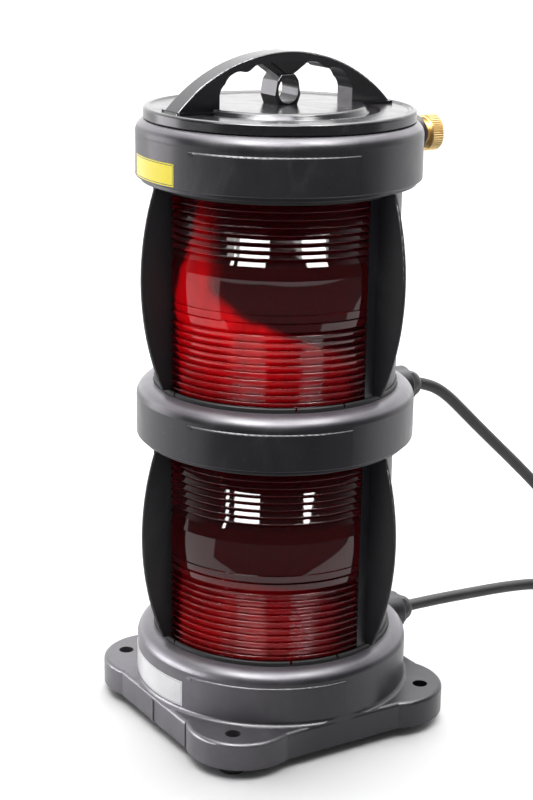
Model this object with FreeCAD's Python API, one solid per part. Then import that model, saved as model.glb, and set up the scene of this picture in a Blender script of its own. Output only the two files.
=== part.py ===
# Two-tier sector navigation light: black plastic base, mid and top housings,
# two red prism lenses over a 110 degree sector, opaque rear shells with screen
# fins, a lid with a moulded carrying handle and lifting eye, a brass lock
# screw and two packed cable glands with rubber leads.
# Millimetres. Origin on the mounting surface at the base axis, +Z up,
# +Y aft (glands and lock screw), -Y ahead, +X the lit beam side.
import FreeCAD, Part
import math
import os

V = FreeCAD.Vector
os.makedirs("parts", exist_ok=True)

# ---- driving dimensions ----------------------------------------------------
FOOT_H = 7.0           # rubber feet under the fixing holes
PLATE_TOP = 27.0       # top of the base flange
SIDE_X, SIDE_Y = 100.0, 101.0   # flat sides of the flange
LOBE_C, LOBE_R = 64.0, 39.5     # corner lobes
HOLE = 80.65           # fixing holes at +-HOLE
HOLE_R = 5.5
BAND_R = 100.0         # outside of the three housing bands
BAND_IN = 94.0
H = 186.0              # pitch of the two lens tiers
Z_SHO = 58.5           # top of the straight wall of the base band
Z_OPEN = 67.4          # mouth of the base band, foot of the visible lens
Z_LEDGE = 63.0         # lens seat inside the mouth
Z_UNDER = 215.5        # underside of the band above the lower lens
Z_SHO_UP = 244.4       # top of the straight wall of the band above
LENS_OUT, LENS_IN = 86.0, 81.0
LENS_A0, LENS_A1 = -90.0, 13.7   # lens sector, azimuth
FIN_A = 20.0           # second screen fin
BELT_Z = 79.6          # centre of the lens belt above Z_OPEN
RIB = 5.2              # prism pitch
LID_R = 94.75
LID_Z = 441.0          # underside of the lid rim
KNOB_Z = 423.0
GLAND_Z = (49.5, 233.0)
CABLE_R = 4.5
EXIT_Y = 127.0         # mouth of each gland nut


def save(name, shape):
    shape = shape.removeSplitter() if shape.ShapeType != "Compound" else shape
    bad = [s for s in shape.Solids if not s.isValid()]
    print(f"{name}: solids {len(shape.Solids)} vol {shape.Volume/1000:.2f} cm3 "
          f"{'INVALID' if bad or not shape.Solids else 'ok'}")
    shape.exportStep(f"parts/{name}.step")


def pol(r, a, z=0.0):
    return V(r * math.cos(math.radians(a)), r * math.sin(math.radians(a)), z)


def outline(items):
    """Closed wire in the XZ half plane. Items are (r, z) corners, or
    ('arc', r_mid, z_mid, r_end, z_end)."""
    edges, last = [], None
    first = None
    for it in items:
        if it[0] == "arc":
            m, e = V(it[1], 0, it[2]), V(it[3], 0, it[4])
            edges.append(Part.Arc(last, m, e).toShape())
            last = e
        else:
            p = V(it[0], 0, it[1])
            if last is not None and (p - last).Length > 1e-6:
                edges.append(Part.LineSegment(last, p).toShape())
            last = p
            first = first or p
    if (last - first).Length > 1e-6:
        edges.append(Part.LineSegment(last, first).toShape())
    return Part.Wire(edges)


def rev(items, a0=0.0, a1=360.0):
    f = Part.Face(outline(items))
    if a1 - a0 >= 360:
        return f.revolve(V(0, 0, 0), V(0, 0, 1), 360)
    f.rotate(V(0, 0, 0), V(0, 0, 1), a0)
    return f.revolve(V(0, 0, 0), V(0, 0, 1), a1 - a0)


def cyl(r, h, at=(0, 0, 0), d=(0, 0, 1)):
    return Part.makeCylinder(r, h, V(*at), V(*d))


def tube(ro, ri, h, at=(0, 0, 0), d=(0, 0, 1)):
    return cyl(ro, h, at, d).cut(cyl(ri, h + 2, tuple(V(*at) - V(*d)), d))


def box(x0, x1, y0, y1, z0, z1):
    return Part.makeBox(x1 - x0, y1 - y0, z1 - z0, V(x0, y0, z0))


def union(shapes):
    s = shapes[0]
    return s.multiFuse(shapes[1:]).removeSplitter() if len(shapes) > 1 else s


def comp(shapes):
    return Part.makeCompound(shapes)


def hexa(af, h, at, d, turn=0.0):
    """Hexagonal prism, across flats af, height h along d from at."""
    r = af / math.sqrt(3)
    pts = [V(r * math.cos(math.radians(60 * i + turn)),
             r * math.sin(math.radians(60 * i + turn)), 0) for i in range(7)]
    s = Part.Face(Part.makePolygon(pts)).extrude(V(0, 0, h))
    s.Placement = FreeCAD.Placement(V(*at), FreeCAD.Rotation(V(0, 0, 1), V(*d)))
    return s


def fillet_where(s, r, test):
    es = [e for e in s.Edges if test(e)]
    return s.makeFillet(r, es) if es else s


def at_z(e, z, tol=0.01):
    return abs(e.BoundBox.ZMin - z) < tol and abs(e.BoundBox.ZMax - z) < tol


# ---- swept wires (inner leads) ---------------------------------------------
def arc_path(points, share=0.45):
    """Straight runs joined by tangent arcs through the inside of each corner."""
    P = [V(*p) for p in points]
    edges, radii, last = [], [], P[0]
    for a, b, c in zip(P, P[1:], P[2:]):
        u, w = (b - a), (c - b)
        lu, lw = u.Length, w.Length
        u, w = u / lu, w / lw
        turn = u.getAngle(w)
        r = share * min(lu, lw) / math.tan(turn / 2)
        t = r * math.tan(turn / 2)
        s, e = b - u * t, b + w * t
        n = (w - u)
        n = n / n.Length
        centre = b + n * (r / math.cos(turn / 2))
        mid = centre - n * r
        if (s - last).Length > 1e-5:
            edges.append(Part.LineSegment(last, s).toShape())
        edges.append(Part.Arc(s, mid, e).toShape())
        radii.append(r)
        last = e
    edges.append(Part.LineSegment(last, P[-1]).toShape())
    return Part.Wire(edges), radii


def sweep(points, r, share=0.45):
    w, radii = arc_path(points, share)
    d = V(*points[1]) - V(*points[0])
    prof = Part.Wire([Part.Circle(V(*points[0]), d, r).toShape()])
    s = w.makePipeShell([prof], True, False, 0)
    if s.ShapeType != "Solid":
        s = Part.Solid(s) if s.ShapeType == "Shell" else s.Solids[0]
    return s, w, radii


# ---- base housing ----------------------------------------------------------
def flange_outline(z, h):
    parts = [box(-SIDE_X, SIDE_X, -48, 48, z, z + h),
             box(-48, 48, -SIDE_Y, SIDE_Y, z, z + h),
             box(-LOBE_C, LOBE_C, -LOBE_C, LOBE_C, z, z + h)]
    for sx in (-1, 1):
        for sy in (-1, 1):
            parts.append(cyl(LOBE_R, h, (sx * LOBE_C, sy * LOBE_C, z)))
    return union(parts)


flange = flange_outline(FOOT_H, PLATE_TOP - FOOT_H)
flange = fillet_where(flange, 3.0, lambda e: at_z(e, PLATE_TOP))
# a mould rib in the middle of the forward side
flange = flange.fuse(box(-1.6, 1.6, -SIDE_Y - 0.9, -SIDE_Y + 1, FOOT_H, PLATE_TOP - 3.2))

band = rev([(BAND_IN, FOOT_H + 8), (BAND_R, FOOT_H + 8), (BAND_R, Z_SHO),
            ("arc", 96.7, 64.6, 90.2, Z_OPEN), (87.9, Z_OPEN),
            (87.9, Z_LEDGE), (72.0, Z_LEDGE), (72.0, 60.0), (BAND_IN, 60.0)])
foot_ring = rev([(BAND_IN, PLATE_TOP - 1), (103.2, PLATE_TOP - 1), (103.0, PLATE_TOP),
                 ("arc", 100.9, PLATE_TOP + 0.9, BAND_R, PLATE_TOP + 3.0),
                 (BAND_IN, PLATE_TOP + 3.0)])
# keep the foot fillet inside the flange outline
foot_ring = foot_ring.common(flange_outline(PLATE_TOP - 2, 8))


def panel(z0, z1):
    """Slightly raised front panel of a band with a softened top edge."""
    s = rev([(98.0, z0), (BAND_R + 0.5, z0), (BAND_R + 0.9, z0 + 0.6), (BAND_R + 0.9, z1 - 1.2),
             ("arc", BAND_R + 0.6, z1 - 0.45, BAND_R - 0.2, z1), (98.0, z1 + 0.3)], -68.4, -0.2)
    nub = rev([(98.0, z1 - 2.6), (BAND_R + 1.4, z1 - 2.6), (BAND_R + 1.2, z1 - 0.9),
               (98.0, z1 + 0.4)], -68.4, -66.2)
    return s.fuse(nub)


core = cyl(90.0, 16, (0, 0, FOOT_H)).fuse(cyl(BAND_IN, 60 - 23.0, (0, 0, 23.0)))
pockets = []
for sx in (-1, 1):
    for sy in (-1, 1):
        c = cyl(34.0, 16, (sx * LOBE_C, sy * LOBE_C, FOOT_H))
        c = c.cut(cyl(13.0, 30, (sx * HOLE, sy * HOLE, 0)))
        pockets.append(c)
base = flange.cut(core).cut(comp(pockets).Solids[0])
for pk in pockets[1:]:
    base = base.cut(pk)
# ring wall between the centre pocket and the corner pockets
wall = rev([(90.0, FOOT_H), (BAND_IN, FOOT_H), (BAND_IN, 24), (90.0, 24)])
base = base.fuse(wall)
base = base.multiFuse([band, foot_ring, panel(PLATE_TOP + 3.0, 56.2)])
# cover screw bosses and lamp bracket bosses
COVER_A = (45, 135, 225, 315)
bosses = []
for a in COVER_A:
    c = pol(85.5, a)
    bosses.append(cyl(6.0, 22, (c.x, c.y, 12.2)).common(cyl(92.0, 60)))
base = base.multiFuse(bosses)
for a in COVER_A:
    c = pol(85.5, a)
    base = base.cut(cyl(1.8, 14, (c.x, c.y, 12.0)))
for sx in (-1, 1):
    for sy in (-1, 1):
        base = base.cut(cyl(HOLE_R, 60, (sx * HOLE, sy * HOLE, 0)))


def gland_boss(z):
    s = rev_y([(0, 88.0), (15.0, 88.0), (15.0, 113.5), ("arc", 14.6, 114.6, 13.5, 115.0),
               (0, 115.0)], z)
    return s


def rev_y(items, z, x=0.0):
    """Solid of revolution about a line along +Y at (x, z); items are (r, y)."""
    edges, last, first = [], None, None
    for it in items:
        if it[0] == "arc":
            m, e = V(it[1], it[2], 0), V(it[3], it[4], 0)
            edges.append(Part.Arc(last, m, e).toShape())
            last = e
        else:
            p = V(it[0], it[1], 0)
            if last is not None and (p - last).Length > 1e-6:
                edges.append(Part.LineSegment(last, p).toShape())
            last = p
            first = first or p
    if (last - first).Length > 1e-6:
        edges.append(Part.LineSegment(last, first).toShape())
    s = Part.Face(Part.Wire(edges)).revolve(V(0, 0, 0), V(0, 1, 0), 360)
    s.translate(V(x, 0, z))
    return s


GLAND_BORE = 8.6


def add_gland_boss(housing, z):
    b = gland_boss(z)
    b = b.cut(cyl(BAND_IN + 0.0, 400))          # nothing inside the band's bore
    # a little of the bore's curve is left solid so the boss joins the wall
    housing = housing.fuse(b)
    return housing.cut(cyl(GLAND_BORE, 60, (0, 80, z), (0, 1, 0)))


base = add_gland_boss(base, GLAND_Z[0])
TIE_A = (45.0, 160.0, 250.0)
for a in TIE_A:
    c = pol(78.8, a)
    base = base.cut(cyl(2.6, 8, (c.x, c.y, 58)))
for sx in (-1, 1):
    base = base.cut(cyl(1.55, 2.6, (sx * 79.0, 0, 59.9)))
save("base_housing", base)

feet = []
for sx in (-1, 1):
    for sy in (-1, 1):
        f = tube(9.5, HOLE_R, FOOT_H, (sx * HOLE, sy * HOLE, 0))
        feet.append(fillet_where(f, 1.0, lambda e: at_z(e, 0) and e.BoundBox.XLength > 15))
save("feet", comp(feet))

# ---- underside cover, its gasket and screws ---------------------------------
cover = cyl(89.6, 2.5, (0, 0, 8.0))
cover = cover.fuse(tube(60, 57.5, 2.0, (0, 0, 6.4)).common(cyl(61, 30)))
cover_gasket = tube(89.6, 78.5, 1.6, (0, 0, 10.55))
scr = []
for a in COVER_A:
    c = pol(85.5, a)
    cover = cover.cut(cyl(2.2, 10, (c.x, c.y, 5)))
    cover_gasket = cover_gasket.cut(cyl(2.4, 10, (c.x, c.y, 8)))
    head = cyl(3.6, 2.2, (c.x, c.y, 5.8)).cut(box(c.x - 4, c.x + 4, c.y - 0.5, c.y + 0.5, 5, 6.7))
    scr.append(head.fuse(cyl(1.75, 12.5, (c.x, c.y, 7.9))))
save("base_cover", cover)
save("base_cover_gasket", cover_gasket)
save("base_cover_screws", comp(scr))


# ---- one tier of the light ---------------------------------------------------
def lens(z0):
    """Prism lens: bull's-eye belt with refracting prisms above and below."""
    b = Z_OPEN + z0
    zc = b + BELT_Z
    bot, top = Z_LEDGE + 2.0 + z0, Z_UNDER + 4.0 - 0.1 + z0
    pts = [(LENS_IN, bot), (LENS_OUT - 0.6, bot), (LENS_OUT - 0.6, b + 1.6)]
    # lower prisms: widest at their tops
    z = b + 1.6
    while z + RIB < zc - 23.0 + 1e-6:
        pts += [(LENS_OUT - 2.3, z), (LENS_OUT - 0.2, z + RIB - 1.1),
                ("arc", LENS_OUT, z + RIB - 0.7, LENS_OUT - 0.5, z + RIB - 0.25),
                (LENS_OUT - 2.3, z + RIB - 0.1)]
        z += RIB
    pts += [(LENS_OUT - 2.5, z), (LENS_OUT - 0.1, zc - 18.6), (LENS_OUT - 1.3, zc - 18.2),
            (LENS_OUT - 0.4, zc - 12.7), (LENS_OUT - 1.2, zc - 12.4)]
    # bull's-eye belt
    pts += [("arc", LENS_OUT - 0.5, zc - 0.9, LENS_OUT - 1.2, zc + 10.6)]
    pts += [(LENS_OUT - 0.1, zc + 11.0), (LENS_OUT - 2.4, zc + 20.0), (LENS_OUT - 0.1, zc + 20.3)]
    z = zc + 25.2
    pts += [(LENS_OUT - 3.4, z)]
    while z + RIB < Z_UNDER + z0 - 0.2:
        pts += [(LENS_OUT - 0.5, z + 0.15), ("arc", LENS_OUT, z + 0.6, LENS_OUT - 0.2, z + 1.1),
                (LENS_OUT - 3.3, z + RIB)]
        z += RIB
    pts += [(LENS_OUT - 0.6, z + 0.1), (LENS_OUT - 0.6, top), (LENS_IN, top)]
    s = rev(pts, LENS_A0 + 0.05, LENS_A1 - 0.05)
    return s


def fin_profile(a, z0, side):
    """Radial screen plate at azimuth a, 3 mm thick on the side away from the lens."""
    zb, zt = 71.0 + z0, 212.2 + z0
    edges = [Part.LineSegment(V(84.5, 0, zb), V(92.2, 0, zb)).toShape(),
             Part.Arc(V(92.2, 0, zb), V(108.1, 0, 147.0 + z0), V(98.0, 0, zt)).toShape(),
             Part.LineSegment(V(98.0, 0, zt), V(84.5, 0, zt)).toShape(),
             Part.LineSegment(V(84.5, 0, zt), V(84.5, 0, zb)).toShape()]
    f = Part.Face(Part.Wire(edges))
    t = 3.0 * side
    s = f.extrude(V(0, t, 0))
    big = [e for e in s.Edges if e.BoundBox.ZLength > 100 and e.BoundBox.XMax > 100]
    try:
        s = s.makeFillet(1.1, big)
    except Exception:
        pass
    s.rotate(V(0, 0, 0), V(0, 0, 1), a)
    return s


def shell(z0):
    """Opaque rear shell with its two screen fins."""
    bot, top = Z_LEDGE + 2.0 + z0, Z_UNDER + 3.9 + z0
    s = rev([(82.2, bot), (LENS_OUT, bot), (LENS_OUT, top), (82.2, top)], LENS_A1, 270.0)
    # stiffening ribs up the outside of the back
    ribs = []
    for a in (65, 90, 115, 140, 165, 190, 215, 240):
        r = box(LENS_OUT - 1.0, LENS_OUT + 1.6, -1.3, 1.3, 74 + z0, 206 + z0)
        r.rotate(V(0, 0, 0), V(0, 0, 1), a)
        ribs.append(r)
    fins = [fin_profile(-90.0, z0, -1), fin_profile(FIN_A, z0, 1)]
    notch = rev([(80, 208.8 + z0), (88.5, 208.8 + z0), (88.5, 216 + z0), (80, 216 + z0)])
    keep = rev([(82.2, bot), (LENS_OUT, bot), (LENS_OUT, top), (82.2, top)], LENS_A1, 270.0)
    s = s.multiFuse(fins + ribs)
    s = s.cut(notch).fuse(keep)
    return s.removeSplitter()


def retaining_ring(z0):
    s = rev([(86.2, Z_LEDGE + 2.1 + z0), (87.6, Z_LEDGE + 2.1 + z0), (87.6, 70.0 + z0),
             (87.2, 70.7 + z0), (86.2, 70.7 + z0)])
    for a in (-85.0, -22.6, 0.6, 60.0, 150.0, 240.0):
        n = box(85.5, 88.5, -0.8, 0.8, 67.9 + z0, 72 + z0)
        n.rotate(V(0, 0, 0), V(0, 0, 1), a)
        s = s.cut(n)
    return s


def seat_gasket(z0):
    return rev([(81.45, Z_LEDGE + z0), (87.6, Z_LEDGE + z0), (87.6, Z_LEDGE + 2.0 + z0),
                (81.45, Z_LEDGE + 2.0 + z0)])


def head_gasket(z0):
    u = Z_UNDER + z0
    return rev([(86.25, u - 6.4), (88.0, u - 6.4), (88.2, u - 6.0), (88.2, u + 5.9),
                (81.45, u + 5.9), (81.45, u + 4.0), (86.25, u + 4.0)])


def tie_rods(z0):
    rods = []
    for a in TIE_A:
        c = pol(78.8, a)
        rods.append(cyl(2.5, 176, (c.x, c.y, 54.0 + z0)))
    return comp(rods)


def tie_nuts(z0):
    out = []
    for a in TIE_A:
        c = pol(78.8, a)
        for z in (55.9, 225.6):
            n = hexa(8.0, 4.0, (c.x, c.y, z + z0), (0, 0, 1), 15)
            out.append(n.cut(cyl(2.5, 8, (c.x, c.y, z - 2 + z0))))
    return comp(out)


def lamp_bracket(z0):
    s = box(-84, 84, -15, 15, 57.4 + z0, 59.9 + z0)
    s = s.common(cyl(85.0, 400))
    s = fillet_where(s, 2.0, lambda e: False)
    s = s.cut(cyl(9.0, 10, (0, 0, 54 + z0)))
    for sx in (-1, 1):
        s = s.cut(cyl(2.1, 10, (sx * 79.0, 0, 54 + z0)))
        s = s.cut(cyl(1.6, 10, (sx * 17.0, 9, 54 + z0)))
    return s


def bracket_screws(z0):
    out = []
    for sx in (-1, 1):
        h = cyl(3.4, 2.2, (sx * 79.0, 0, 55.15 + z0)).fuse(cyl(1.5, 6.8, (sx * 79.0, 0, 55.5 + z0)))
        out.append(h.cut(box(sx * 79 - 4, sx * 79 + 4, -0.5, 0.5, 54.5 + z0, 56.1 + z0)))
    return comp(out)


def lamp_holder(z0):
    """Moulded prefocus holder with a raised neck and two terminal lugs."""
    s = rev([(0, 59.95), (24.0, 59.95), (24.0, 63.5), (20.0, 66.5), (19.0, 92.0),
             (17.6, 94.5), (16.6, 94.5), (16.6, 72.0), (9.0, 72.0), (9.0, 68.0), (0, 68.0)])
    for sx in (-1, 1):
        s = s.fuse(box(sx * 26.0 - 5, sx * 26.0 + 5, -6, 6, 59.95, 68.0))
    for sx in (-1, 1):
        s = s.cut(cyl(1.6, 12, (sx * 27.0, 0, 60.5)))
    s.translate(V(0, 0, z0))
    return s


def holder_shell(z0):
    s = rev([(14.7, 73.5), (16.5, 73.5), (16.5, 95.2), (18.2, 95.2), (18.2, 96.4),
             (14.7, 96.4)])
    for a in (0, 120, 240):
        n = box(14, 19, -2.0, 2.0, 90, 97)
        n.rotate(V(0, 0, 0), V(0, 0, 1), a)
        s = s.cut(n)
    s.translate(V(0, 0, z0))
    return s


def lamp_cap(z0):
    """Prefocus cap: sleeve, flange and end contact."""
    s = rev([(0, 76.0), (4.0, 76.0), (4.0, 78.0), (12.6, 78.0), (13.9, 80.0), (13.9, 96.6),
             (17.4, 96.6), (17.4, 98.0), (14.5, 98.0), (14.5, 105.0), (12.9, 105.0),
             (12.9, 82.0), (0, 82.0)])
    s = s.fuse(cyl(2.2, 3.2, (0, 0, 73.2)))
    s.translate(V(0, 0, z0))
    return s


def lamp_glass(z0):
    s = rev([(11.6, 88.0), (12.7, 88.0), (12.7, 106.0), ("arc", 15.6, 116.0, 20.0, 124.0),
             ("arc", 23.6, 147.0, 0.001, 171.0), (0.001, 169.9),
             ("arc", 22.5, 146.6, 19.0, 124.6), ("arc", 14.6, 116.4, 11.6, 106.0)])
    s.translate(V(0, 0, z0))
    return s


def lamp_filament(z0):
    """Glass stem, two lead wires and the upright coiled filament."""
    stem = rev([(0, 83.0), (8.0, 83.0), (5.0, 90.0), (3.2, 118.0), (0, 121.0)])
    zc = Z_OPEN + BELT_Z
    wires = []
    for sx in (-1, 1):
        wires.append(cyl(0.45, zc + 7.5 - 116.0, (sx * 2.2, 0, 116.0)))
    s = union([stem] + wires)
    coil = cyl(1.3, 12.0, (0, 0, zc - 6.0))
    cross = [cyl(0.45, 2.7, (-0.5, 0, zc + 6.2), (1, 0, 0)), cyl(0.45, 2.7, (-2.2, 0, zc - 6.2), (1, 0, 0))]
    s = union([s, coil] + cross)
    s.translate(V(0, 0, z0))
    return s


for k, tier in enumerate(("lower", "upper")):
    z0 = k * H
    save(f"{tier}_lens", lens(z0))
    save(f"{tier}_rear_shell", shell(z0))
    save(f"{tier}_lens_retaining_ring", retaining_ring(z0))
    save(f"{tier}_lens_seat_gasket", seat_gasket(z0))
    save(f"{tier}_lens_head_gasket", head_gasket(z0))
    save(f"{tier}_tie_rods", tie_rods(z0))
    save(f"{tier}_tie_nuts", tie_nuts(z0))
    save(f"{tier}_lamp_bracket", lamp_bracket(z0))
    save(f"{tier}_bracket_screws", bracket_screws(z0))
    save(f"{tier}_lampholder", lamp_holder(z0))
    save(f"{tier}_lampholder_shell", holder_shell(z0))
    save(f"{tier}_lamp_cap", lamp_cap(z0))
    save(f"{tier}_lamp_glass", lamp_glass(z0))
    save(f"{tier}_lamp_filament", lamp_filament(z0))

# ---- mid housing --------------------------------------------------------------
U = Z_UNDER
mid = rev([(88.5, U - 3.0), (96.3, U - 3.0), (96.5, U - 2.6), (96.5, U), (99.0, U),
           ("arc", 99.7, U + 0.3, BAND_R, U + 1.0), (BAND_R, Z_SHO_UP),
           ("arc", 96.7, Z_SHO_UP + 6.1, 90.2, Z_OPEN + H), (87.9, Z_OPEN + H),
           (87.9, Z_LEDGE + H), (72.0, Z_LEDGE + H), (72.0, 60.0 + H), (BAND_IN, 60.0 + H),
           (BAND_IN, U + 10.0), (72.0, U + 10.0), (72.0, U + 6.0), (88.5, U + 6.0)])
mid = mid.fuse(panel(U + 0.3, Z_SHO_UP - 2.3))
mid = add_gland_boss(mid, GLAND_Z[1])
for a in TIE_A:
    c = pol(78.8, a)
    mid = mid.cut(cyl(2.6, 6, (c.x, c.y, U + 5)))
    mid = mid.cut(cyl(2.6, 6, (c.x, c.y, 58 + H)))
for sx in (-1, 1):
    mid = mid.cut(cyl(1.55, 2.6, (sx * 79.0, 0, 59.9 + H)))
save("mid_housing", mid)

# ---- top housing ---------------------------------------------------------------
T = Z_UNDER + H
STEP_Z = 437.0
top = rev([(88.5, T - 3.0), (96.3, T - 3.0), (96.5, T - 2.6), (96.5, T), (99.0, T),
           ("arc", 99.7, T + 0.3, BAND_R, T + 1.0), (BAND_R, 430.4),
           ("arc", 98.7, 436.6, 94.4, 440.3), (89.4, 440.3), (89.4, STEP_Z), (86.2, STEP_Z),
           (86.2, 428.0), (88.2, 426.0), (BAND_IN, 426.0), (BAND_IN, T + 10.0),
           (72.0, T + 10.0), (72.0, T + 6.0), (88.5, T + 6.0)])
top = top.fuse(panel(T + 0.3, 428.2))
lock_boss = rev_y([(0, 86.6), (13.4, 86.6), (13.4, 116.6), ("arc", 13.1, 117.6, 12.3, 118.0),
                   (0, 118.0)], KNOB_Z)
lock_boss = lock_boss.cut(cyl(86.2, 500)).cut(box(-20, 20, 0, 130, 436.4, 445))
top = top.fuse(lock_boss)
BUSH_R = 6.5
top = top.cut(cyl(BUSH_R, 60, (0, 80, KNOB_Z), (0, 1, 0)))
for a in TIE_A:
    c = pol(78.8, a)
    top = top.cut(cyl(2.6, 6, (c.x, c.y, T + 5)))
save("top_housing", top)

# ---- lid with handle and lifting eye --------------------------------------------
lid = rev([(0, 450.6), (56.6, 450.6), ("arc", 58.6, 450.1, 59.6, 448.7), (60.6, 446.9),
           ("arc", 61.4, 446.1, 62.6, 445.9), (66.4, 445.9), ("arc", 67.6, 446.1, 68.4, 447.0),
           ("arc", 69.0, 447.5, 70.0, 447.6), (88.0, 447.6), ("arc", 89.2, 447.8, 90.0, 448.3),
           ("arc", 90.8, 448.7, 91.8, 448.8), (92.6, 448.8), ("arc", 94.1, 448.2, LID_R, 446.7),
           (LID_R, 441.8), ("arc", 94.5, 441.2, 94.0, LID_Z), (84.9, LID_Z), (84.9, 418.5),
           (82.6, 418.5), (82.6, 440.2), ("arc", 82.0, 441.6, 80.6, 442.2), (64.0, 442.2),
           (60.0, 441.6), (56.0, 446.6), (0, 446.6)])

APEX = 486.8
OUT_R = 117.0
HW = 9.2               # half width of the handle along X
END_Y = 87.5


def arc_z(y, apex, r):
    return apex - r + math.sqrt(r * r - y * y)


def handle_outline():
    """Side view of the handle in the YZ plane, drawn from the aft tip over
    the top to the forward tip and back along the finger grips."""
    tip_z = arc_z(END_Y, APEX, OUT_R)
    e = []

    def ln(a, b):
        e.append(Part.LineSegment(V(0, *a), V(0, *b)).toShape())

    def ar(a, m, b):
        e.append(Part.Arc(V(0, *a), V(0, *m), V(0, *b)).toShape())

    ar((END_Y, tip_z), (0, APEX), (-END_Y, tip_z))
    ln((-END_Y, tip_z), (-END_Y + 1.2, 447.2))
    ln((-END_Y + 1.2, 447.2), (-53.6, 447.2))
    ln((-53.6, 447.2), (-53.6, 459.5))
    ar((-53.6, 459.5), (-52.3, 463.4), (-49.4, 466.6))
    ar((-49.4, 466.6), (-46.9, 470.6), (-42.8, 473.4))
    ar((-42.8, 473.4), (-38.8, 474.6), (-34.6, 474.1))
    ar((-34.6, 474.1), (-31.4, 474.3), (-28.6, 475.8))
    ar((-28.6, 475.8), (-25.4, 478.0), (-22.2, 479.0))
    ar((-22.2, 479.0), (0, 479.9), (22.2, 479.0))
    ar((22.2, 479.0), (25.4, 478.0), (28.6, 475.8))
    ar((28.6, 475.8), (31.4, 474.3), (34.6, 474.1))
    ar((34.6, 474.1), (38.8, 474.6), (42.8, 473.4))
    ar((42.8, 473.4), (46.9, 470.6), (49.4, 466.6))
    ar((49.4, 466.6), (52.3, 463.4), (53.6, 459.5))
    ln((53.6, 459.5), (53.6, 447.2))
    ln((53.6, 447.2), (END_Y - 1.2, 447.2))
    ln((END_Y - 1.2, 447.2), (END_Y, tip_z))
    return Part.Wire(e)


handle = Part.Face(handle_outline()).extrude(V(2 * HW, 0, 0))
handle.translate(V(-HW, 0, 0))
try:
    handle = handle.makeFillet(1.3, [e for e in handle.Edges if e.BoundBox.XLength < 0.01
                                     and e.BoundBox.YLength > 150])
except Exception as ex:
    print("handle outer fillet left out", ex)
try:
    inner = [e for e in handle.Edges if e.BoundBox.XLength < 0.01 and e.BoundBox.YLength < 50
             and e.BoundBox.ZMin > 459.0 and e.BoundBox.ZMax < 480.5 and e.BoundBox.YLength > 0.5]
    handle = handle.makeFillet(0.9, inner)
except Exception as ex:
    print("handle inner fillet left out", ex)

# hollows in the two flanks between the strap and the finger grips
GW = 5.6
gus = Part.Face(Part.makePolygon([V(-GW, -21.5, 480.5), V(-GW, -4.2, 469.0), V(-GW, 4.2, 469.0),
                                  V(-GW, 21.5, 480.5), V(-GW, -21.5, 480.5)])).extrude(V(2 * GW, 0, 0))
# raised triangular facet on each face of the gusset
fac = Part.Face(Part.makePolygon([V(-GW - 1.4, -13.5, 481.0), V(-GW - 1.4, 0, 471.5),
                                  V(-GW - 1.4, 13.5, 481.0), V(-GW - 1.4, -13.5, 481.0)])
                ).extrude(V(2 * GW + 2.8, 0, 0))

# lifting eye: six-sided loop with an upright oval hole, axis along X
EY, EW = 10.2, 10.4
eye_pts = [(-5.4, 471.2), (5.4, 471.2), (8.4, 467.2), (EY, 457.2), (7.2, 449.6), (-7.2, 449.6),
           (-EY, 457.2), (-8.4, 467.2)]
eye = Part.Face(Part.makePolygon([V(-EW, *p) for p in eye_pts] + [V(-EW, *eye_pts[0])])
                ).extrude(V(2 * EW, 0, 0))
hole = Part.Wire([Part.Arc(V(0, -7.8, 459.8), V(0, 0, 469.2), V(0, 7.8, 459.8)).toShape(),
                  Part.Arc(V(0, 7.8, 459.8), V(0, 0, 451.6), V(0, -7.8, 459.8)).toShape()])
eye_hole = Part.Face(hole).extrude(V(4 * EW, 0, 0))
eye_hole.translate(V(-2 * EW, 0, 0))
eye = eye.makeFillet(0.8, [e for e in eye.Edges if abs(abs(e.BoundBox.XMin) - EW) < 0.01
                           and e.BoundBox.XLength < 0.01])

# end pads where the handle meets the lid
pads = []
for s in (-1, 1):
    pts = [V(-11.5, s * 52.0, 446.0), V(11.5, s * 52.0, 446.0), V(12.5, s * 86.0, 446.0),
           V(-12.5, s * 86.0, 446.0)]
    p = Part.Face(Part.makePolygon(pts + [pts[0]])).extrude(V(0, 0, 4.0))
    # slope the pad down towards the middle of the lid
    wedge = Part.Face(Part.makePolygon([V(-20, s * 50, 448.2), V(-20, s * 90, 449.9), V(-20, s * 90, 470),
                                        V(-20, s * 50, 470), V(-20, s * 50, 448.2)])).extrude(V(40, 0, 0))
    pads.append(p.cut(wedge))
lid = lid.multiFuse([handle, gus, fac, eye] + pads)
lid = lid.cut(eye_hole)
lid = lid.removeSplitter()
save("lid", lid)

save("lid_gasket", rev([(85.4, 437.3), (88.9, 437.3), (89.0, 437.5), (89.0, 440.5),
                        (88.6, 440.8), (85.8, 440.8), (85.4, 440.5)]))

# ---- lock screw ------------------------------------------------------------------
bush = rev_y([(4.05, 90.5), (BUSH_R - 0.02, 90.5), (BUSH_R - 0.02, 118.1), (9.2, 118.1),
              (9.2, 119.4), (4.05, 119.4)], KNOB_Z)
save("lock_bush", bush)
save("lock_washer", rev_y([(4.4, 119.5), (8.6, 119.5), (8.6, 120.9), (4.4, 120.9)], KNOB_Z))
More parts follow.
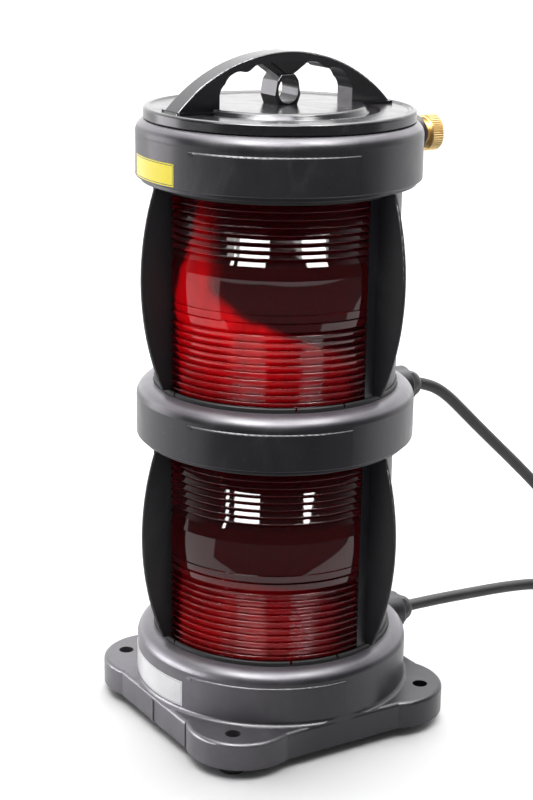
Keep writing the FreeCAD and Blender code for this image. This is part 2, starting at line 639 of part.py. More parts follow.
# knurled brass head with a dished face; the tip ends just off the lid skirt
head_r, root_r = 13.2, 12.45
knob = rev_y([(0, 85.35), (2.4, 85.35), (4.0, 87.0), (4.0, 121.1), (9.6, 121.1), (9.6, 123.0),
              (11.4, 123.0), (12.3, 123.7), (12.3, 133.3), (11.6, 134.0), (8.6, 134.0),
              (7.6, 133.2), (0, 133.0)], KNOB_Z)
N_KNURL = 48
pts = []
for i in range(N_KNURL):
    for da, r in ((0.0, root_r), (3.0, head_r), (4.5, head_r)):
        a = math.radians(360.0 / N_KNURL * i + da + 1.9)
        pts.append(V(r * math.cos(a), 123.9, KNOB_Z + r * math.sin(a)))
band = Part.Face(Part.makePolygon(pts + [pts[0]])).extrude(V(0, 9.2, 0))
knob = knob.fuse(band)
save("lock_knob", knob.Solids[0])

# ---- cable glands -------------------------------------------------------------------
for k, tier in enumerate(("lower", "upper")):
    z = GLAND_Z[k]
    nut = hexa(20.6, 5.4, (0, 115.05, z), (0, 1, 0), 0)
    cone = rev_y([(0, 105.0), (GLAND_BORE - 0.05, 105.0), (GLAND_BORE - 0.05, 115.2),
                  (9.9, 115.2), (9.9, 121.2), ("arc", 8.6, 124.6, 6.1, EXIT_Y), (0, EXIT_Y)], z)
    chamf = rev_y([(0, 114), (12.6, 114), (12.6, 117.6), (10.6, 121.0), (0, 121.0)], z)
    nut = nut.common(chamf).fuse(cone)
    nut = nut.cut(cyl(CABLE_R + 0.1, 60, (0, 90, z), (0, 1, 0)))
    save(f"{tier}_gland_nut", nut)
    save(f"{tier}_gland_washer", tube(GLAND_BORE - 0.1, CABLE_R + 0.1, 1.5, (0, 103.4, z), (0, 1, 0)))
    save(f"{tier}_gland_seal", tube(GLAND_BORE - 0.05, CABLE_R + 0.05, 8.0, (0, 95.3, z), (0, 1, 0)))

# ---- leads inside: sheath ends, cores and terminal blocks --------------------------
for k, tier in enumerate(("lower", "upper")):
    z = GLAND_Z[k]
    y0 = 90.0
    tail = cyl(CABLE_R, EXIT_Y - 0.0 - y0, (0, y0, z), (0, 1, 0))
    cores = []
    if tier == "lower":
        cover_top = 10.5
        blk = box(-16, 16, 46, 60, cover_top, cover_top + 14)
        tops = cover_top + 14
    else:
        blk = box(-16, 16, 73.0, 84.0, U + 10.0, U + 10.0 + 12)
        tops = U + 22.0
    yb = 53.0 if tier == "lower" else 78.5
    for sx in (-1, 1):
        blk = blk.cut(cyl(2.6, 3.0, (sx * 8.0, yb, tops - 3.0)))
    for sx, off in ((-1, -1.9), (1, 1.9)):
        if tier == "lower":
            pts = [(off, 89.95, z), (off * 1.1, 82.0, z), (sx * 8.0, 62.0, z - 6.0),
                   (sx * 8.0, 53.4, z - 15.0), (sx * 8.0, 53.0, tops + 0.1)]
        else:
            pts = [(off, 89.95, z), (off * 1.1, 86.6, z + 0.1), (sx * 7.4, 80.4, z + 1.0),
                   (sx * 8.0, 78.6, z - 2.6), (sx * 8.0, 78.5, tops - 2.8)]
        s, w, rr = sweep(pts, 1.4)
        cores.append(s)
    save(f"{tier}_lead_tail", tail)
    save(f"{tier}_lead_cores", comp(cores))
    save(f"{tier}_terminal_block", blk)

# ---- labels: plain curved plates -----------------------------------------------------
save("top_label", rev([(BAND_R + 0.02, 403.2), (BAND_R + 0.3, 403.2), (BAND_R + 0.3, 418.4),
                       (BAND_R + 0.02, 418.4)], -108.0, -76.0))
save("base_label", rev([(BAND_R + 0.02, 31.0), (BAND_R + 0.3, 31.0), (BAND_R + 0.3, 50.0),
                        (BAND_R + 0.02, 50.0)], -128.0, -71.0))

# ---- free leads -----------------------------------------------------------------------
# Each lead leaves its gland aft, comes down to the surface the light stands
# on and is put away in a flat two-turn coil. The upper lead's coil lies on
# the lower lead's.
FLOOR = CABLE_R + 0.05
ENTRY_Y = 402.0
LEADS = {
    "lower": {
        "route": [(0, 127.0, 49.9), (0, 151, 49.6), (-0.5, 188, 47.6), (-0.9, 226, 45.4),
                  (-0.6, 260, 41.6), (-0.2, 289, 33.0), (0.1, 314, 20.8), (0.4, 337, 10.6),
                  (0.7, 358, 5.6), (0.9, 380, 4.7), (1.0, ENTRY_Y, FLOOR)],
        "r": (61.0, 39.0), "z": FLOOR},
    "upper": {
        "route": [(0, 127.0, 233.0), (0, 139.0, 229.6), (0, 150.0, 223.7), (-0.2, 161.2, 215.0),
                  (-0.5, 178.6, 198.5), (-0.8, 203.5, 175.4), (-1.1, 231.6, 149.8),
                  (-1.3, 259.0, 123.6), (-1.0, 284.0, 97.4), (-0.5, 307.0, 72.6),
                  (0.0, 328.5, 51.6), (0.5, 350.0, 35.4), (0.9, 373.5, 22.2),
                  (1.2, ENTRY_Y, 3 * CABLE_R + 0.6)],
        "r": (60.8, 41.0), "z": 3 * CABLE_R + 0.6},
}
for tier, L in LEADS.items():
    s, w, radii = sweep(L["route"], CABLE_R)
    want = math.pi * CABLE_R ** 2 * w.Length
    runs = [(V(*b) - V(*a)).Length for a, b in zip(L["route"], L["route"][1:])]
    print(tier, "lead tube length", round(w.Length, 1), "volume ratio", round(s.Volume / want, 4),
          "valid", s.isValid(), "radii", [round(r) for r in radii],
          "runs", [round(r) for r in runs])
    save(f"{tier}_lead", s)
    x, y, z = L["route"][-1]
    r0, r1 = L["r"]
    c = tube(r0 + CABLE_R, r1 - CABLE_R, 2 * CABLE_R, (x + r0, y, L["z"] - CABLE_R))
    save(f"{tier}_lead_coil", c)
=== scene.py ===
import bpy
import math
from mathutils import Matrix, Vector


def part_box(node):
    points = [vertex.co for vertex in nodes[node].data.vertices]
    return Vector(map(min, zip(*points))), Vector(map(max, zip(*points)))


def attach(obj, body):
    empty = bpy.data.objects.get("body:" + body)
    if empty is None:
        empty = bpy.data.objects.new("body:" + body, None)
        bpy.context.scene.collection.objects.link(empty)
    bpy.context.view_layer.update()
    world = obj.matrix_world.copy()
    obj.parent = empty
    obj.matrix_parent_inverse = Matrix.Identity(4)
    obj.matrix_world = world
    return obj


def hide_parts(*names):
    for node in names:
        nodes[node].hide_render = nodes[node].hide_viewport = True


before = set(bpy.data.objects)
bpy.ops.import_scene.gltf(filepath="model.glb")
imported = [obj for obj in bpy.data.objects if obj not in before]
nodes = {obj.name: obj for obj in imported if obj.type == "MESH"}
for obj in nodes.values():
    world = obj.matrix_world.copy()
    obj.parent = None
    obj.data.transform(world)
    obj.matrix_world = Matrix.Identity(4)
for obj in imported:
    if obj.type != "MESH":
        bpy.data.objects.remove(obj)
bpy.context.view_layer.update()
scene = bpy.context.scene


def link(obj):
    scene.collection.objects.link(obj)
    return obj


# ---- camera --------------------------------------------------------------------
az, tilt, roll = math.radians(148.104), math.radians(16.466), math.radians(0.907)
fw = Vector((math.cos(az) * math.cos(tilt), math.sin(az) * math.cos(tilt), -math.sin(tilt)))
right = fw.cross(Vector((0, 0, 1))).normalized()
up = right.cross(fw)
r2 = right * math.cos(roll) + up * math.sin(roll)
u2 = -right * math.sin(roll) + up * math.cos(roll)
cam_data = bpy.data.cameras.new("camera")
cam_data.sensor_fit = "AUTO"
cam_data.sensor_width = 36.0
cam_data.lens = 79.86
cam_data.clip_start, cam_data.clip_end = 0.05, 60.0
cam = link(bpy.data.objects.new("camera", cam_data))
rot = Matrix((r2, u2, -fw)).transposed()
cam.matrix_world = Matrix.Translation((1.0424, -0.6560, 0.6011)) @ rot.to_4x4()
scene.camera = cam

# ---- leads: one spline each, out of the gland, down to the floor, then the coil ----
LEADS = {
    "lower": dict(
        route=[(0.0, 0.1270, 0.0499), (0.0, 0.151, 0.0496), (-0.0005, 0.188, 0.0476),
               (-0.0009, 0.226, 0.0454), (-0.0006, 0.260, 0.0416), (-0.0002, 0.289, 0.0330),
               (0.0001, 0.314, 0.0208), (0.0004, 0.337, 0.0106), (0.0007, 0.358, 0.0056),
               (0.0009, 0.380, 0.0047)],
        r0=0.0610, r1=0.0390, turns=2.29, z=0.00455, exit=(0.0, 0.1270, 0.0499)),
    "upper": dict(
        route=[(0.0, 0.1270, 0.2330), (0.0, 0.1390, 0.2296), (0.0, 0.1500, 0.2237),
               (-0.0002, 0.1612, 0.2150), (-0.0005, 0.1786, 0.1985), (-0.0008, 0.2035, 0.1754),
               (-0.0011, 0.2316, 0.1498), (-0.0013, 0.2590, 0.1236), (-0.0010, 0.2840, 0.0974),
               (-0.0005, 0.3070, 0.0726), (0.0, 0.3285, 0.0516), (0.0005, 0.3500, 0.0354),
               (0.0009, 0.3735, 0.0222)],
        r0=0.0608, r1=0.0410, turns=2.0, z=0.0141, exit=(0.0, 0.1270, 0.2330)),
}
COIL_C = (0.062, 0.402)
PER_TURN = 18
SHRINK = 0.75 + 0.25 * math.cos(2 * math.pi / PER_TURN)


def nurbs(name, points, radius, resolution=8, caps=True):
    """One open NURBS spline with those control points, as a round tube."""
    c = bpy.data.curves.new(name, "CURVE")
    c.dimensions = "3D"
    c.bevel_depth = radius
    c.bevel_resolution = 6
    c.use_fill_caps = caps
    s = c.splines.new("NURBS")
    s.points.add(len(points) - 1)
    for p, q in zip(s.points, points):
        p.co = (q[0], q[1], q[2], 1.0)
    s.order_u = 3
    s.use_endpoint_u = True
    s.resolution_u = resolution
    return link(bpy.data.objects.new(name, c))


def coil_point(d, angle, r, z):
    return (COIL_C[0] + r * math.cos(angle), COIL_C[1] + r * math.sin(angle), z)


leads, core_pieces = {}, {}
for tier, d in LEADS.items():
    pts = list(d["route"])
    n = int(round(d["turns"] * PER_TURN))
    for i in range(n + 1):
        t = i / n
        a = math.pi - 2 * math.pi * d["turns"] * t
        r = (d["r0"] + (d["r1"] - d["r0"]) * t) / SHRINK
        pts.append(coil_point(d, a, r, d["z"]))
    leads[tier] = nurbs(f"{tier}_lead_cord", pts, 0.0045, 10)
    # the two cores past the end of the sheath, each with a stripped strand bundle
    a_end = math.pi - 2 * math.pi * d["turns"]
    r_end = d["r1"]
    made = []
    for k, side in enumerate((-1, 1)):
        core, wire = [], []
        for j in range(7):
            s = -0.004 + j * 0.0042
            a = a_end - s / r_end
            off = side * (0.0015 + 0.0009 * max(0.0, s) / 0.01)
            z = d["z"] - (0.0026 if tier == "lower" else 0.0017) * min(1.0, max(0.0, s) / 0.016)
            core.append(coil_point(d, a, r_end / 1.0 + off, z))
        cz = core[-1][2]
        for j in range(4):
            s = 0.0195 + j * 0.0028
            a = a_end - s / r_end
            off = side * (0.0015 + 0.0009 * s / 0.01)
            wire.append(coil_point(d, a, r_end + off, cz))
        c1 = nurbs(f"{tier}_lead_core_{k + 1}", core, 0.00135, 6)
        c2 = nurbs(f"{tier}_lead_strands_{k + 1}", wire, 0.0008, 6)
        made += [c1, c2]
    core_pieces[tier] = made

# ---- material tools ----------------------------------------------------------------


class Mat:
    """A node material whose textures run on object coordinates, in metres."""

    def __init__(self, name):
        self.m = bpy.data.materials.new(name)
        self.m.use_nodes = True
        self.t = self.m.node_tree
        self.b = self.t.nodes["Principled BSDF"]
        self.out = self.t.nodes["Material Output"]
        self.co = self.t.nodes.new("ShaderNodeTexCoord").outputs["Object"]

    def node(self, kind, **props):
        n = self.t.nodes.new(kind)
        for k, v in props.items():
            setattr(n, k, v)
        return n

    def wire(self, a, b):
        self.t.links.new(a, b)
        return self

    def mapped(self, scale=(1, 1, 1), rot=(0, 0, 0), loc=(0, 0, 0)):
        n = self.node("ShaderNodeMapping")
        n.inputs["Scale"].default_value = scale
        n.inputs["Rotation"].default_value = rot
        n.inputs["Location"].default_value = loc
        self.wire(self.co, n.inputs["Vector"])
        return n.outputs["Vector"]

    def noise(self, scale, detail=4.0, rough=0.55, vec=None, distortion=0.0):
        n = self.node("ShaderNodeTexNoise")
        n.inputs["Scale"].default_value = scale
        n.inputs["Detail"].default_value = detail
        n.inputs["Roughness"].default_value = rough
        n.inputs["Distortion"].default_value = distortion
        self.wire(vec if vec is not None else self.co, n.inputs["Vector"])
        return n.outputs["Fac"]

    def math(self, op, a, b=None, c=None, clamp=False):
        n = self.node("ShaderNodeMath", operation=op)
        n.use_clamp = clamp
        for i, v in enumerate((a, b, c)):
            if v is None:
                continue
            if isinstance(v, (int, float)):
                n.inputs[i].default_value = v
            else:
                self.wire(v, n.inputs[i])
        return n.outputs[0]

    def rng(self, v, a, b, c, d, smooth=False):
        n = self.node("ShaderNodeMapRange")
        if smooth:
            n.interpolation_type = "SMOOTHSTEP"
        n.inputs["From Min"].default_value = a
        n.inputs["From Max"].default_value = b
        n.inputs["To Min"].default_value = c
        n.inputs["To Max"].default_value = d
        self.wire(v, n.inputs["Value"])
        return n.outputs["Result"]

    def ramp(self, v, stops):
        n = self.node("ShaderNodeValToRGB")
        e = n.color_ramp.elements
        while len(e) > 1:
            e.remove(e[-1])
        e[0].position, e[0].color = stops[0][0], (*stops[0][1], 1)
        for p, col in stops[1:]:
            x = e.new(p)
            x.color = (*col, 1)
        self.wire(v, n.inputs["Fac"])
        return n.outputs["Color"]

    def mix(self, fac, a, b):
        n = self.node("ShaderNodeMix", data_type="RGBA")
        self.wire(fac, n.inputs["Factor"]) if not isinstance(fac, float) else None
        for i, v in ((6, a), (7, b)):
            if isinstance(v, tuple):
                n.inputs[i].default_value = (*v, 1)
            else:
                self.wire(v, n.inputs[i])
        return n.outputs[2]

    def xyz(self, vec=None):
        n = self.node("ShaderNodeSeparateXYZ")
        self.wire(vec if vec is not None else self.co, n.inputs[0])
        return n.outputs

    def bump(self, height, strength, distance, normal=None):
        n = self.node("ShaderNodeBump")
        n.inputs["Strength"].default_value = strength
        n.inputs["Distance"].default_value = distance
        self.wire(height, n.inputs["Height"])
        if normal is not None:
            self.wire(normal, n.inputs["Normal"])
        return n.outputs["Normal"]

    def set(self, **kw):
        for k, v in kw.items():
            key = k.replace("_", " ")
            if isinstance(v, (int, float)):
                self.b.inputs[key].default_value = v
            elif isinstance(v, tuple):
                self.b.inputs[key].default_value = (*v, 1) if len(v) == 3 else v
            else:
                self.wire(v, self.b.inputs[key])
        return self


def lin(*c):
    """sRGB 0..255 to linear."""
    return tuple(((v / 255) / 12.92 if v / 255 <= 0.04045 else ((v / 255 + 0.055) / 1.055) ** 2.4) for v in c)


def moulded(name, dark, light, rough, spread, grain=0.035, scuffs=0.5, spec=0.5, coat=0.0, coat_rough=0.1,
            painted_top_sheen=0.0, painted_low_sheen=0.0):
    """Black moulding: fine grain, slow colour drift, handling scuffs, a painted pale sheen on the
    faces that look upward, and a painted grey sheen low down on the port side."""
    k = Mat(name)
    drift = k.noise(9.0, 4, 0.6)
    fine = k.noise(900.0, 3, 0.6)
    smear = k.noise(26.0, 6, 0.7, k.mapped((1.0, 1.0, 0.35), (0.3, 0.2, 0.1)), 0.6)
    scratch_a = k.noise(60.0, 2, 0.4, k.mapped((1.0, 22.0, 9.0), (0.4, 0.9, 0.35)))
    scratch = k.rng(scratch_a, 0.71, 0.76, 0.0, 1.0)
    base = k.mix(k.rng(drift, 0.35, 0.65, 0.0, 1.0), dark, light)
    dust_and_sheen = k.mix(k.math("MULTIPLY", k.rng(smear, 0.55, 0.8, 0.0, scuffs), 0.35), base, lin(96, 96, 100))
    # painted sheen: lighter grey laid low down on the port side, in place of the light the moulding catches there
    if painted_low_sheen:
        x, y, z = k.xyz()
        side = k.math("SUBTRACT", k.math("MULTIPLY", y, -0.9), k.math("MULTIPLY", x, 0.45))
        low_sheen_mask = k.math("MULTIPLY", k.rng(side, -0.035, 0.060, 0.0, painted_low_sheen, True), k.rng(z, 0.050, 0.075, 1.0, 0.0, True))
        low_sheen_mask = k.math("MULTIPLY", low_sheen_mask, k.rng(k.noise(38.0, 6, 0.7), 0.3, 0.7, 0.7, 1.0))
        dust_and_sheen = k.mix(low_sheen_mask, dust_and_sheen, lin(142, 138, 146))
    # painted sheen: pale grey laid in noisy patches on the faces that look upward, inside the band's outer radius, in
    # place of the shoulders' sheen
    if painted_top_sheen:
        up = k.xyz(k.node("ShaderNodeTexCoord").outputs["Normal"])[2]
        patch = k.rng(k.noise(30.0, 5, 0.7), 0.3, 0.7, 0.75, 1.0)
        x, y, z = k.xyz()
        reach = k.math("SQRT", k.math("ADD", k.math("MULTIPLY", x, x), k.math("MULTIPLY", y, y)))
        top_sheen_mask = k.math("MULTIPLY", k.math("MULTIPLY", k.rng(up, 0.12, 0.62, 0.0, painted_top_sheen, True), patch),
                         k.rng(reach, 0.0980, 0.0994, 1.0, 0.0))
        dust_and_sheen = k.mix(top_sheen_mask, dust_and_sheen, lin(158, 152, 162))
    col = k.mix(k.math("MULTIPLY", scratch, scuffs * 0.25), dust_and_sheen, lin(120, 120, 124))
    r = k.math("ADD", k.rng(smear, 0.3, 0.75, rough - spread, rough + spread),
               k.math("MULTIPLY", scratch, 0.08))
    h = k.math("ADD", fine, k.math("MULTIPLY", k.noise(140.0, 3, 0.5), 1.2))
    k.set(Base_Color=col, Roughness=r, IOR=1.5, Specular_IOR_Level=spec,
          Normal=k.bump(h, grain, 0.0004))
    if coat:
        k.set(Coat_Weight=coat, Coat_Roughness=coat_rough)
    return k.m


# housing, base and lid carry a painted sheen on their upward faces; the base also has a painted sheen low on its port
# side
M = {}
M["housing"] = moulded("housing_plastic", lin(15, 12, 22), lin(23, 20, 30), 0.37, 0.10, 0.05, 0.8, painted_top_sheen=0.66)
M["base"] = moulded("base_plastic", lin(15, 12, 22), lin(23, 20, 30), 0.37, 0.10, 0.05, 0.8, painted_top_sheen=0.46, painted_low_sheen=0.42)
M["lid"] = moulded("lid_plastic", lin(18, 17, 22), lin(24, 22, 28), 0.22, 0.06, 0.03, 0.5, painted_top_sheen=0.08)
M["shell"] = moulded("shell_plastic", lin(16, 15, 21), lin(21, 20, 26), 0.44, 0.06, 0.04, 0.4)
M["ring"] = moulded("ring_plastic", lin(20, 19, 21), lin(26, 25, 27), 0.5, 0.05, 0.05, 0.3)
M["cover"] = moulded("cover_plastic", lin(38, 38, 40), lin(46, 46, 48), 0.55, 0.06, 0.08, 0.6)
M["gland"] = moulded("gland_plastic", lin(26, 26, 28), lin(34, 34, 36), 0.42, 0.06, 0.04, 0.4)


def rubber(name, dark, light, rough, rings=0.0, axis=1):
    k = Mat(name)
    a = k.noise(34.0, 5, 0.65)
    f = k.noise(1500.0, 2, 0.5)
    powder = k.rng(k.noise(70.0, 6, 0.75), 0.52, 0.8, 0.0, 0.35)
    base = k.mix(k.rng(a, 0.35, 0.65, 0.0, 1.0), dark, light)
    k.set(Base_Color=k.mix(powder, base, lin(70, 70, 72)), IOR=1.5,
          Roughness=k.rng(a, 0.3, 0.7, rough - 0.06, rough + 0.08),
          Normal=k.bump(f, 0.12, 0.0003))
    return k.m


M["gasket"] = rubber("gasket_rubber", lin(24, 24, 24), lin(34, 34, 34), 0.7)
M["cable"] = rubber("cable_rubber", lin(15, 15, 17), lin(22, 22, 24), 0.46)
M["foot"] = rubber("foot_rubber", lin(18, 18, 18), lin(30, 30, 30), 0.75)


def red_lens(name, z_base, right_edge, left_edge, strength, glow, deep):
    """Clear red moulding, dark where one looks into the body, with a painted glow in place of light
    piped through the wall: between the azimuths that left_edge and right_edge give, in degrees, at heights in
    metres above z_base. strength is how strong the painted glow is at those heights."""
    k = Mat(name)
    x, y, z = k.xyz()
    azim = k.math("DEGREES", k.math("ARCTAN2", y, x))
    h = k.rng(z, z_base, z_base + 0.150, 0.0, 1.0)

    def curve(points):
        """A number that follows those (height, value) points, values -100 to 100."""
        stops = [(p / 0.150, ((v + 100) / 200,) * 3) for p, v in points]
        return k.rng(k.ramp(h, stops), 0.0, 1.0, -100.0, 100.0)

    wob = k.math("MULTIPLY", k.math("SUBTRACT", k.noise(24.0, 4, 0.6, k.mapped((1, 1, 1.6))), 0.5), 22.0)
    e1 = k.math("ADD", k.math("SUBTRACT", curve(right_edge), azim), wob)
    e2 = k.math("ADD", k.math("SUBTRACT", azim, curve(left_edge)), k.math("MULTIPLY", wob, 0.3))
    # painted glow: a bright red zone laid by azimuth and height, not light carried through the lens
    painted_glow_mask = k.math("MULTIPLY", k.rng(e1, -7.0, 9.0, 0.0, 1.0, True), k.rng(e2, -1.0, 3.0, 0.0, 1.0, True))
    blot = k.rng(k.noise(46.0, 4, 0.6, k.mapped((1, 1, 0.45))), 0.3, 0.7, 0.6, 1.0)
    blot = k.math("MULTIPLY", blot, k.rng(azim, -42.0, -4.0, 1.0, 0.52, True))
    painted_glow_mask = k.math("MULTIPLY", k.math("MULTIPLY", painted_glow_mask, blot), k.rng(curve(strength), 0.0, 100.0, 0.0, 1.0), clamp=True)
    k.set(Base_Color=k.mix(painted_glow_mask, deep, glow), IOR=1.49, Specular_IOR_Level=0.34,
          Roughness=k.rng(k.noise(50.0, 4, 0.6), 0.3, 0.7, 0.02, 0.05),
          Transmission_Weight=k.rng(painted_glow_mask, 0.0, 1.0, 0.72, 0.15),
          Normal=k.bump(k.noise(700.0, 2, 0.5), 0.008, 0.0002))
    return k.m


# GLOW is the colour of the painted glow on the lenses, DEEP their own dark red
GLOW, DEEP = (0.95, 0.001, 0.006), (0.10, 0.002, 0.005)
M["lens_upper"] = red_lens(
    "red_lens_upper", 0.2534,
    [(0.0, 8), (0.030, 6), (0.042, -4), (0.050, -22), (0.057, -34), (0.066, -50), (0.080, -60), (0.12, -62), (0.148, -64)],
    [(0.0, -84), (0.07, -88), (0.09, -84), (0.115, -76), (0.148, -72)],
    [(0.0, 45), (0.02, 72), (0.05, 95), (0.10, 85), (0.13, 60), (0.148, 25)], GLOW, DEEP)
M["lens_lower"] = red_lens(
    "red_lens_lower", 0.0674,
    [(0.0, 0), (0.040, 2), (0.056, -10), (0.064, -60), (0.070, -100), (0.1, -100), (0.148, -100)],
    [(0.0, -84), (0.07, -84), (0.148, -80)],
    [(0.0, 40), (0.02, 60), (0.045, 45), (0.06, 20), (0.07, 0), (0.12, 0), (0.148, 0)], GLOW, DEEP)


def metal(name, a, b, rough, scale, stretch, aniso=0.0):
    k = Mat(name)
    n = k.noise(scale, 5, 0.7, k.mapped(stretch))
    tarn = k.noise(60.0, 5, 0.65)
    k.set(Base_Color=k.mix(k.rng(tarn, 0.35, 0.7, 0.0, 1.0), a, b), Metallic=1.0,
          Roughness=k.rng(n, 0.3, 0.7, rough - 0.07, rough + 0.09),
          Normal=k.bump(n, 0.06, 0.0002))
    return k.m


M["brass"] = metal("brass", lin(238, 208, 150), lin(214, 178, 118), 0.32, 400.0, (1, 6, 1))
M["steel"] = metal("stainless_steel", lin(196, 196, 198), lin(160, 160, 164), 0.30, 300.0, (1, 1, 8))
M["tungsten"] = metal("tungsten_support", lin(128, 128, 132), lin(88, 88, 92), 0.35, 600.0, (1, 1, 4))
M["copper"] = metal("copper_strands", lin(214, 140, 100), lin(180, 104, 70), 0.32, 700.0, (5, 5, 1))


def pale(name, a, b, rough, coat=0.0):
    k = Mat(name)
    n = k.noise(40.0, 5, 0.6)
    f = k.noise(700.0, 3, 0.6)
    k.set(Base_Color=k.mix(k.rng(n, 0.35, 0.7, 0.0, 1.0), a, b), IOR=1.5,
          Roughness=k.rng(n, 0.3, 0.7, rough - 0.06, rough + 0.08), Normal=k.bump(f, 0.05, 0.0003))
    if coat:
        k.set(Coat_Weight=coat, Coat_Roughness=0.08)
    return k.m


M["holder"] = pale("holder_moulding", lin(226, 220, 206), lin(208, 200, 184), 0.3, 0.5)
M["terminal"] = pale("terminal_moulding", lin(222, 222, 216), lin(204, 204, 196), 0.4)
M["fibre"] = pale("fibre_washer", lin(150, 70, 52), lin(122, 54, 40), 0.75)
M["core_brown"] = pale("core_insulation_brown", lin(104, 58, 30), lin(84, 46, 24), 0.38)
M["core_blue"] = pale("core_insulation_blue", lin(34, 84, 160), lin(26, 66, 132), 0.38)


def glass():
    k = Mat("clear_glass")
    n = k.noise(60.0, 3, 0.5)
    k.set(Base_Color=k.mix(n, (0.96, 0.97, 0.97), (0.90, 0.92, 0.92)), IOR=1.5, Transmission_Weight=1.0,
          Roughness=k.rng(n, 0.3, 0.7, 0.0, 0.03))
    return k.m


M["glass"] = glass()


def film(name, field, field2, rule, node, az0, az1, z0, z1, radius, inset, width, rough=0.35):
    k = Mat(name)
    x, y, z = k.xyz()
    azim = k.math("ARCTAN2", y, x)
    mid, half = math.radians((az0 + az1) / 2), math.radians((az1 - az0) / 2) * radius
    dx = k.math("SUBTRACT", half, k.math("ABSOLUTE", k.math("MULTIPLY", k.math("SUBTRACT", azim, mid), radius)))
    dz = k.math("SUBTRACT", (z1 - z0) / 2, k.math("ABSOLUTE", k.math("SUBTRACT", z, (z0 + z1) / 2)))
    d = k.math("MINIMUM", dx, dz)
    band = k.math("COMPARE", d, inset + width / 2, width / 2)
    n = k.noise(70.0, 5, 0.65)
    f = k.mix(k.rng(n, 0.4, 0.75, 0.0, 1.0), field, field2)
    k.set(Base_Color=k.mix(band, f, rule), IOR=1.5, Roughness=k.rng(n, 0.3, 0.7, rough - 0.05, rough + 0.1),
          Coat_Weight=0.4, Coat_Roughness=0.12, Normal=k.bump(k.noise(300.0, 3, 0.5), 0.03, 0.0003))
    return k.m


def label_span(node):
    blo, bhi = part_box(node)
    vs = [v.co for v in nodes[node].data.vertices]
    angles = [math.degrees(math.atan2(v.y, v.x)) for v in vs]
    return min(angles), max(angles), blo.z, bhi.z


a0, a1, z0, z1 = label_span("top_label")
M["top_label"] = film("yellow_label", lin(255, 236, 40), lin(250, 228, 30), lin(60, 56, 20), "top_label",
                      a0, a1, z0, z1, 0.1003, 0.0007, 0.0005)
a0, a1, z0, z1 = label_span("base_label")
M["base_label"] = film("white_label", lin(246, 246, 248), lin(234, 234, 238), lin(170, 170, 176), "base_label",
                       a0, a1, z0, z1, 0.1003, 0.0008, 0.0003)

# ---- which material goes on which node ------------------------------------------------
EXACT = {
    "base_housing": "base", "mid_housing": "housing", "top_housing": "housing", "lid": "lid",
    "feet": "foot", "base_cover": "cover", "base_cover_gasket": "gasket", "base_cover_screws": "steel",
    "base_label": "base_label", "top_label": "top_label", "lid_gasket": "gasket",
    "lock_bush": "brass", "lock_washer": "fibre", "lock_knob": "brass",
    "lower_lens": "lens_lower", "upper_lens": "lens_upper",
}
BY_END = {
    "rear_shell": "shell", "lens_retaining_ring": "ring", "lens_seat_gasket": "gasket",
    "lens_head_gasket": "gasket", "tie_rods": "steel", "tie_nuts": "steel", "lamp_bracket": "steel",
    "bracket_screws": "steel", "lampholder": "holder", "lampholder_shell": "brass", "lamp_cap": "brass",
    "lamp_glass": "glass", "lamp_filament": "tungsten", "gland_nut": "gland", "gland_washer": "steel",
    "gland_seal": "gasket", "lead_tail": "cable", "lead_cores": "core_brown", "terminal_block": "terminal",
    "lead": "cable", "lead_coil": "cable",
}


def paint(obj, mat):
    obj.data.materials.clear()
    obj.data.materials.append(mat)


for name, obj in nodes.items():
    key = EXACT.get(name) or BY_END[name.split("_", 1)[1]]
    paint(obj, M[key])

for tier, d in LEADS.items():
    paint(leads[tier], M["cable"])
    for i, o in enumerate(core_pieces[tier]):
        paint(o, M["copper"] if "strands" in o.name else (M["core_brown"] if o.name.endswith("1") else M["core_blue"]))
        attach(o, "housing")
    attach(leads[tier], "housing")
    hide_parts(f"{tier}_lead", f"{tier}_lead_coil")

# ---- floor and light --------------------------------------------------------------------
fl = bpy.data.meshes.new("floor")
S = 30.0
fl.from_pydata([(-S, -S, 0), (S, -S, 0), (S, S, 0), (-S, S, 0)], [], [(0, 1, 2, 3)])
floor = link(bpy.data.objects.new("floor", fl))
floor.location.z = 0.0
kf = Mat("floor_paper")
kf.set(Base_Color=kf.mix(kf.noise(3.0, 3, 0.5), (0.93, 0.93, 0.935), (0.90, 0.90, 0.905)), Roughness=0.85,
       Specular_IOR_Level=0.2)
paint(floor, kf.m)


def softbox(name, azimuth, elevation, dist, w, h, power, target=(0, 0, 0.25), colour=(1, 1, 1)):
    """A rectangular light that stands at that azimuth about the light, aimed at target."""
    L = bpy.data.lights.new(name, "AREA")
    L.shape = "RECTANGLE"
    L.size, L.size_y = w, h
    L.energy = power
    L.color = colour
    o = link(bpy.data.objects.new(name, L))
    a, e = math.radians(azimuth), math.radians(elevation)
    t = Vector(target)
    o.location = t + Vector((math.cos(a) * math.cos(e), math.sin(a) * math.cos(e), math.sin(e))) * dist
    o.rotation_euler = (t - o.location).to_track_quat("-Z", "Y").to_euler()
    return o


for args in (("key_left", -64, 58, 2.8, 0.95, 1.05, 104), ("key_right", 16, 58, 2.8, 0.75, 1.05, 80),
             ("strip_left", -86, 40, 2.6, 0.10, 1.5, 16), ("overhead_front", -32, 77, 1.9, 2.4, 0.95, 50),
             ("overhead_back", 148, 74, 2.1, 2.4, 1.6, 60)):
    softbox(*args).visible_diffuse = False

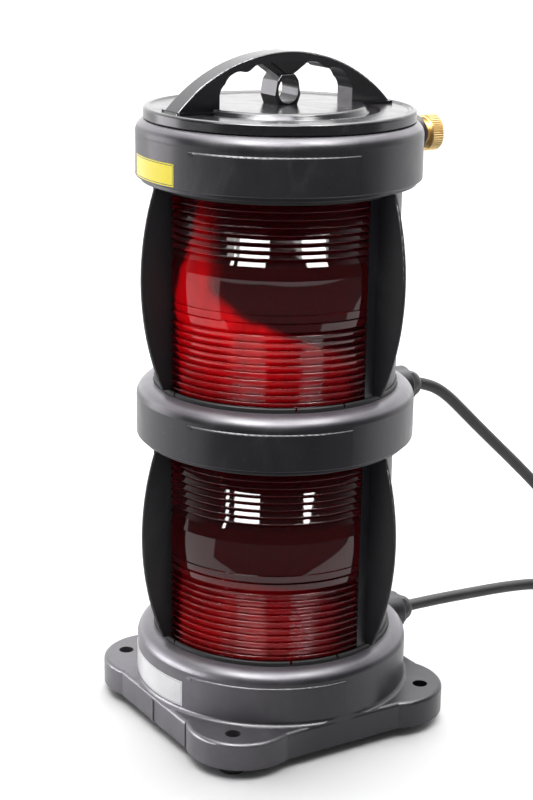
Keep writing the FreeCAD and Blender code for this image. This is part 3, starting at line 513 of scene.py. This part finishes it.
# two wide washes that are flagged off the lenses and only reach the black mouldings
wash = bpy.data.collections.new("mouldings")
for n in ("base_housing", "mid_housing", "top_housing", "lid"):
    wash.objects.link(nodes[n])
foot = bpy.data.collections.new("base_moulding")
foot.objects.link(nodes["base_housing"])
for args in (("wash_left", -138, 6, 2.2, 1.2, 1.2, 22), ("wash_front", -40, 50, 2.4, 1.5, 0.7, 74),
             ("wash_low", -112, 3, 1.3, 1.1, 0.5, 52, (0, 0, 0.06))):
    o = softbox(*args)
    o.visible_diffuse = False
    o.data.color = (1.0, 0.965, 1.03)
    o.light_linking.receiver_collection = foot if args[0] == "wash_low" else wash

sun = bpy.data.lights.new("overhead", "SUN")
sun.energy = 2.3
sun.angle = math.radians(80)
so = link(bpy.data.objects.new("overhead", sun))
so.rotation_euler = (math.radians(-8), math.radians(-10), 0)

# dark cards laid on the floor towards the viewer's side, outside the picture, as a
# photographer flags a glossy black object; they only show in reflections
outline = [(0.03, -0.40), (0.10, -1.40), (0.42, -6.0), (6.0, -6.0), (6.0, 4.6), (2.6, 4.6), (0.86, 1.10), (0.38, 0.12)]
verts = [(x, y, 0.0015) for x, y in outline]
faces = [tuple(range(len(outline)))]
fm = bpy.data.meshes.new("flag")
fm.from_pydata(verts, [], faces)
flag = link(bpy.data.objects.new("flag", fm))
kg = Mat("flag_card")
kg.set(Base_Color=kg.mix(kg.noise(5.0, 3, 0.5), (0.10, 0.10, 0.10), (0.13, 0.13, 0.13)), Roughness=0.9,
       Specular_IOR_Level=0.1)
paint(flag, kg.m)
flag.visible_camera = False
flag.visible_diffuse = False
flag.visible_shadow = False
flag.visible_transmission = False

# studio walls: white behind and over the light, open and dim towards the viewer's side
w = bpy.data.worlds.new("studio")
scene.world = w
w.use_nodes = True
wt = w.node_tree
bg = wt.nodes["Background"]
tc = wt.nodes.new("ShaderNodeTexCoord")
dot = wt.nodes.new("ShaderNodeVectorMath")
dot.operation = "DOT_PRODUCT"
dot.inputs[1].default_value = (math.cos(math.radians(-32)), math.sin(math.radians(-32)), -0.25)
wt.links.new(tc.outputs["Generated"], dot.inputs[0])
mr = wt.nodes.new("ShaderNodeMapRange")
mr.interpolation_type = "SMOOTHSTEP"
for key, v in (("From Min", -0.75), ("From Max", 0.12), ("To Min", 1.9), ("To Max", 0.10)):
    mr.inputs[key].default_value = v
wt.links.new(dot.outputs["Value"], mr.inputs["Value"])
seen = wt.nodes.new("ShaderNodeLightPath")
plain = wt.nodes.new("ShaderNodeMath")
plain.operation = "MAXIMUM"
wt.links.new(mr.outputs["Result"], plain.inputs[0])
wt.links.new(seen.outputs["Is Camera Ray"], plain.inputs[1])
wt.links.new(plain.outputs[0], bg.inputs["Strength"])
bg.inputs["Color"].default_value = (1.0, 1.0, 1.0, 1)

scene.view_settings.view_transform = "Standard"
scene.view_settings.look = "None"
scene.view_settings.exposure = 0.0
